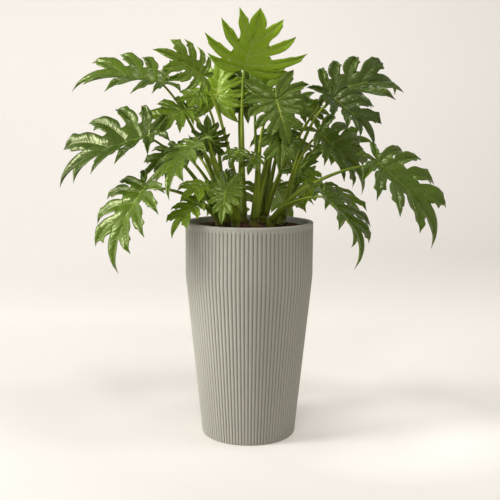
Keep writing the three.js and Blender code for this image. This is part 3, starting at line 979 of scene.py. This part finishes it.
# %% [markdown]
# ## Blades of a stem
#
# All blades of one stem are one piece. A real blade is under a millimetre thick, so the piece is made as
# a thin sheet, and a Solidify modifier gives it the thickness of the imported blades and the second
# material on its underside.

# %% Blades of a stem
BLADE = 0.9


def lay_blade(bm, leaf, layers):
    """Lays all lobes of a leaf and merges them."""
    outline = leaf.outline
    roots = [root for root, _, _ in outline["lobes"]] + [outline["end"]]
    spine = [0.0] + [(a + b) / 2 for a, b in zip(roots, roots[1:])]
    laid = []
    for side in (1, -1):
        for k in range(len(outline["lobes"])):
            laid += lay_lobe(bm, leaf, k, side, spine, layers)
        laid += lay_end(bm, leaf, side, spine[-1], layers)
    bmesh.ops.remove_doubles(bm, verts=laid, dist=2 * WELD)


def blade_piece(number, leaves, materials):
    """All blades of one stem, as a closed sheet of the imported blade's thickness."""
    bm = bmesh.new()
    layers = (
        bm.loops.layers.uv.new("lobe"),
        bm.loops.layers.uv.new("rib"),
        bm.verts.layers.float_color.new("tone"),
    )
    for leaf in leaves:
        lay_blade(bm, leaf, layers)
    bmesh.ops.dissolve_degenerate(bm, edges=bm.edges, dist=WELD)
    piece = finish_piece(f"blades_of_stem_{number}", bm, materials, f"leafy_stem_{number}")
    plate = piece.modifiers.new("thickness", "SOLIDIFY")
    plate.thickness = BLADE * MM
    plate.offset = 0.0
    plate.material_offset = 1


# %% [markdown]
# ## Stalk
#
# A stalk rises from the stem, leans out and bends into the midrib, and it runs on under the blade as a
# rib that thins towards the tip. Its lower end is a broad sheath that clasps the stem. It is a tube: a
# sheet whose two long sides meet, laid round a curve, with a section that changes on the way.

# %% Stalks
STALK_FOOT = 11.0
STALK_END = 3.5
STALK_SIDES = 14
STALK_ROWS = 44
RIB_ROWS = 20
RIDGE = 0.04            # where the stalk turns into the rib, in blade lengths
RIB_END = 0.93
STEM_FOOT = 600.0
STEM_TOP = 694.0
STALK_TONE = 92         # the feature that draws a stalk's own tone


def bezier(points, u):
    """A point of a cubic curve and the way it runs there."""
    a, b, c, d = points
    v = 1 - u
    place = a * v**3 + b * (3 * u * v * v) + c * (3 * u * u * v) + d * u**3
    way = (b - a) * (v * v) + (c - b) * (2 * u * v) + (d - c) * (u * u)
    return place, way.normalized()


def stalk_curve(leaf):
    """The curve from the stem to the blade, the way across it, and the length between its ends."""
    forward, above, _ = leaf.axes(0.0)
    x, y = STEM_PLACES[leaf.stem - 1]
    joint = leaf.at(RIDGE) + above * 0.4
    lean = Vector((joint.x - x, joint.y - y)).normalized()
    foot = Vector((x + 6 * lean.x, y + 6 * lean.y, STEM_TOP - 10))
    way = joint - foot
    length = way.length
    way.normalize()
    rising = (way + Vector((0, 0, 1))).normalized()
    arriving = (way * 0.6 + forward * 0.5).normalized()
    curve = (foot, foot + rising * (0.38 * length), joint - arriving * (0.22 * length), joint)
    return curve, Vector((-lean.y, lean.x, 0)), length


def tube(bm, sides, rows, section, uv, tone, colour):
    """A tube. At a share of its length, section gives its centre, two directions with the radius in
    them, and its length so far, and colour gives its tone."""
    sections = [section(i / rows) for i in range(rows + 1)]

    def place(across, along):
        centre, right, top, _ = sections[round(along * rows)]
        angle = across * 2 * math.pi
        return (centre + right * math.cos(angle) + top * math.sin(angle)) * MM

    grid = lay(bm, sides, rows, place)
    order = {vertex: index for index, vertex in enumerate(grid)}
    for face in {face for vertex in grid for face in vertex.link_faces}:
        for corner in face.loops:
            row, column = divmod(order[corner.vert], sides + 1)
            corner[uv].uv = (column / sides, sections[row][3] * MM)
    for vertex in grid:
        vertex[tone] = colour(order[vertex] // (sides + 1) / rows)
    bmesh.ops.remove_doubles(bm, verts=grid, dist=WELD)


def lay_stalk(bm, leaf, uv, tone):
    curve, across, length = stalk_curve(leaf)
    share = STALK_ROWS / (STALK_ROWS + RIB_ROWS)

    def section(t):
        if t <= share:
            u = t / share
            centre, ahead = bezier(curve, u)
            radius = STALK_END + (STALK_FOOT - STALK_END) * (1 - u) ** 2
            side = (across - ahead * across.dot(ahead)).normalized()
            top = ahead.cross(side)
            clasp = 1 + 0.25 * (1 - smooth(0.0, 0.16, u))
            start = smooth(0.0, 0.02, u)
            return centre, side * (radius * clasp * start), top * (radius * start), u * length
        u = (t - share) / (1 - share)
        s = RIDGE + (RIB_END - RIDGE) * u
        _, above, side = leaf.axes(s)
        radius = STALK_END * (1 - u) ** 0.8 * 0.94 * (0 if t >= 1 else 1)
        centre = leaf.at(s) - above * (radius * 0.62 * smooth(0, 0.1, u))
        return centre, side * radius, above * radius * -1, length + (s - RIDGE) * leaf.length

    def colour(t):
        return (leaf.youth, draw(leaf.seed, STALK_TONE) * 0.5 + 0.5, min(t / share, 1.0), 1.0)

    tube(bm, STALK_SIDES, STALK_ROWS + RIB_ROWS, section, uv, tone, colour)


print((STALK_ROWS + RIB_ROWS) * STALK_SIDES, "faces to a stalk")

# %% [markdown]
# ## Veins below and stem
#
# Under the blade the lobes' veins stand out as thin ribs. The stem is short and thick, with the scars of
# old stalks round it, and a blunt top. Both are tubes too, so they need only a section of their own.

# %% Veins below, stem and the piece
VEIN_SIDES = 6
VEIN_ROWS = 10
VEIN_RADIUS = 1.5
STEM_SIDES = 20
STEM_ROWS = 34
SLIVER = 1e-7           # metres; shorter edges are dissolved


def lay_side_ribs(bm, leaf, uv, tone):
    """The lobes' veins stand out of the blade's underside."""
    for side in (1, -1):
        for k in range(len(leaf.outline["lobes"])):
            lobe = Lobe(leaf, k, side)

            def section(t):
                u = 0.02 + 0.86 * t
                flat, way = lobe.vein(u), lobe.way(u)
                x = max((u - lobe.start) / (1 - lobe.start), 0.0)
                sag = lobe.sag * x * x
                radius = VEIN_RADIUS * (1 - t) ** 0.8 * (0.62 + leaf.length / 700)
                centre = leaf.place(flat.x, flat.y, side, sag, -0.55 * radius - 0.2)
                here = leaf.place(flat.x, flat.y, side, sag)
                ahead = leaf.place(flat.x + way.x * 0.01, flat.y + way.y * 0.01, side, sag) - here
                _, above, _ = leaf.axes(flat.x)
                right = ahead.cross(above).normalized()
                top = right.cross(ahead).normalized()
                return centre, right * radius, top * radius, u * leaf.length * 0.4

            tube(bm, VEIN_SIDES, VEIN_ROWS, section, uv, tone, lambda t: (leaf.youth, 0.5, 1.0, 1.0))


def lay_stem(bm, number, uv, tone):
    """The short thick stem, with the scars of old stalks round it and a blunt top."""
    x, y = STEM_PLACES[number - 1]
    low = STEM_FOOT + 20
    high = STEM_TOP + 4

    def section(t):
        z = low + (high - low) * t
        scars = 1 + 0.035 * math.sin(z * 0.9 + number) + 0.03 * math.sin(z * 0.37 + 2 * number)
        radius = STEM_RADIUS * (1 - 0.22 * t) * scars
        radius *= math.sqrt(max(1 - smooth(0.78, 1.0, t) ** 2, 0)) * (0 if t >= 1 or t <= 0 else 1)
        return Vector((x, y, z)), Vector((radius, 0, 0)), Vector((0, radius, 0)), z

    tube(bm, STEM_SIDES, STEM_ROWS, section, uv, tone, lambda t: (0.1, 0.5, 0.0, 1.0))


def stalk_piece(number, leaves, material):
    """The stem with all of its stalks and their ribs."""
    bm = bmesh.new()
    uv = bm.loops.layers.uv.new("round")
    tone = bm.verts.layers.float_color.new("tone")
    lay_stem(bm, number, uv, tone)
    for leaf in leaves:
        lay_stalk(bm, leaf, uv, tone)
        lay_side_ribs(bm, leaf, uv, tone)
    bmesh.ops.dissolve_degenerate(bm, edges=bm.edges, dist=SLIVER)
    finish_piece(f"stalks_of_stem_{number}", bm, [material], f"leafy_stem_{number}")


# %% [markdown]
# ## Leaf's finish
#
# The upper face is deep green and waxy: it mirrors the studio as pale streaks, and it is yellow-green
# along its veins, and paler still there when it is young. Fine side veins and puffs between them give it
# an uneven gloss. A leaf lets some light through, so a share of a translucent shader shows leaves that
# are lit from behind as bright yellow-green, and young leaves have the larger share. The underside is
# paler and duller.

# %% Leaf materials
DEEP_GREEN = (0.015, 0.032, 0.003)
MID_GREEN = (0.054, 0.098, 0.006)
YOUNG_GREEN = (0.235, 0.375, 0.014)
VEIN_GREEN = (0.220, 0.310, 0.036)
VEIN_YELLOW = (0.560, 0.660, 0.200)
UNDER_GREEN = (0.095, 0.150, 0.022)
WAX_TINT = (0.94, 1.00, 0.55)
LIGHT_THROUGH = (0.44, 0.62, 0.020)
SIDE_VEINS = 0.0105             # metres from one fine side vein to the next
PUFFS = (80, 22, 6)             # how often the puffs change along a lobe, across it and along the leaf


def vein_masks(finish):
    """The midrib, a lobe's vein and the fine side veins, from 0 to 1, and the puffs between them. The
    midrib thins towards the leaf's tip, and a lobe's vein away from the midrib."""
    along, across, _ = finish.mapped("lobe")
    from_rib, s, _ = finish.mapped("rib")
    beside = abs(across)
    rib = (1.25 - from_rib / (0.0034 - s * 0.0026)).clamp()
    vein = (1.2 - beside / (0.0016 - along * 0.0085)).clamp() * (along * 400).clamp()
    slanted = along - beside * 0.9
    fine = ((abs((slanted / SIDE_VEINS).fraction() - 0.5) * 2 - 0.80) * 5).clamp()
    cells = finish.node("CombineXYZ", values={0: slanted * PUFFS[0], 1: across * PUFFS[1], 2: s * PUFFS[2]})
    puff = finish.noise(1.0, 2.0, where=cells)
    return rib, vein, fine, puff


def blade_finish(name, upper):
    finish = Finish(name)
    rib, vein, fine, puff = vein_masks(finish)
    youth, own, lobe_share = finish.stored("tone")
    cloud = finish.noise(14.0, 3.0)
    spots = finish.noise(70.0, 3.0)
    if upper:
        shade = cloud * 0.9 + own * 0.5 - 0.25 + (lobe_share - 0.5) * 0.25
        base = finish.mix(shade.clamp(), DEEP_GREEN, MID_GREEN)
    else:
        base = finish.mix((cloud * 0.5 + 0.2).clamp(), MID_GREEN, UNDER_GREEN)
    base = finish.mix((youth * (0.85 + spots * 0.3)).clamp(), base, YOUNG_GREEN)
    base = finish.mix((fine * 0.16 + (spots - 0.5) * 0.15).clamp(), base, VEIN_GREEN)
    lines = (rib * 0.9).at_least(vein * (youth * 0.4 + 0.5))
    colour = finish.mix(lines, base, finish.mix(youth, VEIN_GREEN, VEIN_YELLOW))
    grooves = vein * -0.8 - rib * 1.0
    relief = grooves + puff * 2.2 + fine * 0.08 + spots * 0.4 + cloud * 0.8
    skin = finish.node("BsdfPrincipled", values={
        "Base Color": colour,
        "Roughness": (0.20 if upper else 0.50) + cloud * 0.10 + spots * 0.06,
        "Specular IOR Level": 0.50 if upper else 0.25,
        "Specular Tint": WAX_TINT,
        "Normal": finish.bump(relief if upper else relief * -1, 0.0017, 0.9),
    })
    through = finish.node("BsdfTranslucent", values={"Color": LIGHT_THROUGH})
    shader = finish.node("MixShader", values={0: 0.06 + youth * 0.16, 1: skin, 2: through})
    return finish.end(shader)


blade_materials = [blade_finish("leaf_upper_face", True), blade_finish("leaf_underside", False)]
print("blade materials:", ", ".join(material.name for material in blade_materials))

# %% [markdown]
# ## Stalk's finish
#
# A stalk is pale green with darker streaks that run along it, so its noise is laid on the tube's own map
# and stretched. The sheath at its foot is browned in patches, and so is the stem.

# %% Stalk's material
STALK_GREEN = (0.285, 0.345, 0.018)
SHEATH_BROWN = (0.090, 0.058, 0.018)
STALK_STREAKS = (9, 14, 20)     # how often the streaks change round it, along it and from stalk to stalk


def stalk_finish():
    finish = Finish("green_stalk")
    around, along, _ = finish.mapped("round")
    youth, own, height = finish.stored("tone")
    round_it, along_it, between = STALK_STREAKS
    place = finish.node("CombineXYZ", values={0: around * round_it, 1: along * along_it, 2: own * between})
    streak = finish.noise(1.0, 4.0, where=place)
    cloud = finish.noise(30.0, 3.0)
    green = finish.mix((streak * 1.3 - 0.3 + (own - 0.5) * 0.6).clamp(), MID_GREEN, STALK_GREEN)
    green = finish.mix((youth * 0.7).clamp(), green, VEIN_GREEN)
    browned = ((0.10 - height) * 9 + (cloud - 0.5) * 1.5).clamp()
    colour = finish.mix(browned * 0.45, green, SHEATH_BROWN)
    shader = finish.node("BsdfPrincipled", values={
        "Base Color": colour,
        "Roughness": 0.38 + streak * 0.15,
        "Specular IOR Level": 0.3,
        "Specular Tint": WAX_TINT,
        "Normal": finish.bump(streak, 0.0006, 0.5),
    })
    return finish.end(shader)


stalk_material = stalk_finish()
print("stalk material:", stalk_material.name)

# %% [markdown]
# ## Leafy stems
#
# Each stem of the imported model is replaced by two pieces, its blades and its stalks, because they have
# different materials and only the blades need a thickness. Both follow from the rows of the table that
# carry the stem's number.

# %% Leafy stems
for number in range(1, len(STEM_PLACES) + 1):
    own_leaves = [leaf for leaf in plants if leaf.stem == number]
    print("stem", number, "carries:", ", ".join(leaf.name for leaf in own_leaves))
    blade_piece(number, own_leaves, blade_materials)
    stalk_piece(number, own_leaves, stalk_material)

# %% [markdown]
# ## Sweep
#
# The plant stands on a warm white sweep, a floor that curves up into a wall, as in a studio. Its section
# is spun, so there is a wall behind the plant from every side. Studio backdrops have lights of their own,
# and here a soft glow of the sweep does their work: it makes the wall behind the plant bright and evens
# out the floor where the lights fall off.

# %% Sweep
SWEEP = (0.62, 0.60, 0.575)
GLOW_BEHIND = (0.438, 0.422, 0.402)
GLOW_BEFORE = (0.175, 0.163, 0.150)
GLOW_LEFT = (0.068, 0.065, 0.061)
GLOW_RIGHT = (0.415, 0.383, 0.352)
GLOW_FAR = (0.357, 0.334, 0.307)
FLOOR_REACH = 4.6               # metres, as all sizes of the sweep are
SWEEP_BEND = 1.6
SWEEP_TOP = 4.4
SWEEP_STEPS = 96


def sweep_finish():
    """Matt paint that glows as painted light: wall and floor between two glows each, and the far floor in a
    third.
    """
    finish = Finish("warm_white_sweep")
    x, y, z = finish.parts(finish.own_place())
    behind = (y * 0.075 - x * 0.18 + 0.5).clamp()
    # A painted pool of light on the floor to the right of the planter, which lightens the shadows there.
    light_pool = (1 - ((x - 0.45) * (x - 0.45) + y * y) * 5).clamp()
    beside = (x * 0.38 + light_pool * 0.5 + 0.38 - (y * -0.65).clamp()).clamp()
    distant = ((y - 0.4) * 0.8).clamp()
    raised = (z * 3 + (y - 2) * 0.5).clamp()
    floor = finish.mix(distant, finish.mix(beside, GLOW_LEFT, GLOW_RIGHT), GLOW_FAR)
    glow = finish.mix(raised, floor, finish.mix(behind, GLOW_BEFORE, GLOW_BEHIND))
    shader = finish.node("BsdfPrincipled", values={
        "Base Color": SWEEP,
        "Roughness": 0.9,
        "Specular IOR Level": 0.1,
        "Emission Color": glow,
        "Emission Strength": 1.0,
    })
    return finish.end(shader)


def build_sweep():
    profile = [(0, 0), (1.0, 0), (2.5, 0), (FLOOR_REACH, 0)]
    for step in range(1, 10):
        angle = math.radians(10 * step)
        out = FLOOR_REACH + SWEEP_BEND * math.sin(angle)
        profile.append((out, SWEEP_BEND * (1 - math.cos(angle))))
    profile.append((FLOOR_REACH + SWEEP_BEND, SWEEP_TOP))
    bm = bmesh.new()
    turn_profile(bm, [(radius / MM, height / MM) for radius, height in profile], SWEEP_STEPS)
    bmesh.ops.reverse_faces(bm, faces=bm.faces)
    mesh = bpy.data.meshes.new("sweep")
    bm.to_mesh(mesh)
    bm.free()
    mesh.shade_smooth()
    mesh.materials.append(sweep_finish())
    sweep = bpy.data.objects.new("sweep", mesh)
    bpy.context.scene.collection.objects.link(sweep)
    print("sweep faces", len(mesh.polygons))


build_sweep()

# %% [markdown]
# ## Light
#
# A large soft key light from the upper left gives the planter its bright side and the leaves their
# streaks. A weak window, low on the left and with a narrow spread, reaches the planter below the leaves,
# and a fill light softens the shadows on the right. The overhead and front lights are small, so the wax
# mirrors them as glints. The rest is the pale room.

# %% Light
# Name, place, target, size in metres, watts, colour, and the spread in degrees.
LIGHTS = [
    ("key", (-3.22, -1.2, 2.45), (0, 0, 0.75), 1.3, 142, (1.0, 0.98, 0.95), 180),
    ("window", (-3.6, -0.5, 0.9), (0, 0, 0.55), 1.6, 6, (1.0, 0.99, 0.98), 50),
    ("fill", (2.6, -2.6, 2.2), (0, 0, 0.8), 2.4, 8, (1.0, 0.98, 0.96), 180),
    ("overhead", (0.5, -0.4, 3.7), (0, 0, 0.9), 0.8, 32, (1.0, 0.99, 0.97), 180),
    ("front", (-0.1, -2.3, 3.4), (0, 0, 0.9), 0.5, 18, (1.0, 0.99, 0.97), 180),
]
ROOM_LIGHT = (1.0, 0.965, 0.92)
ROOM_STRENGTH = 0.36


def add_light(name, place, target, size, watts, colour, spread):
    light = bpy.data.lights.new(name, "AREA")
    light.shape = "DISK"
    light.size = size
    light.energy = watts
    light.color = colour
    light.spread = math.radians(spread)
    lamp = bpy.data.objects.new(name, light)
    bpy.context.scene.collection.objects.link(lamp)
    lamp.location = place
    lamp.rotation_euler = (Vector(target) - Vector(place)).to_track_quat("-Z", "Y").to_euler()


for light_row in LIGHTS:
    add_light(*light_row)

world = bpy.data.worlds.new("room")
world.use_nodes = True
background = world.node_tree.nodes["Background"]
background.inputs["Color"].default_value = (*ROOM_LIGHT, 1.0)
background.inputs["Strength"].default_value = ROOM_STRENGTH
bpy.context.scene.world = world
bpy.context.scene.view_settings.view_transform = "Standard"
print("lights:", ", ".join(row[0] for row in LIGHTS))
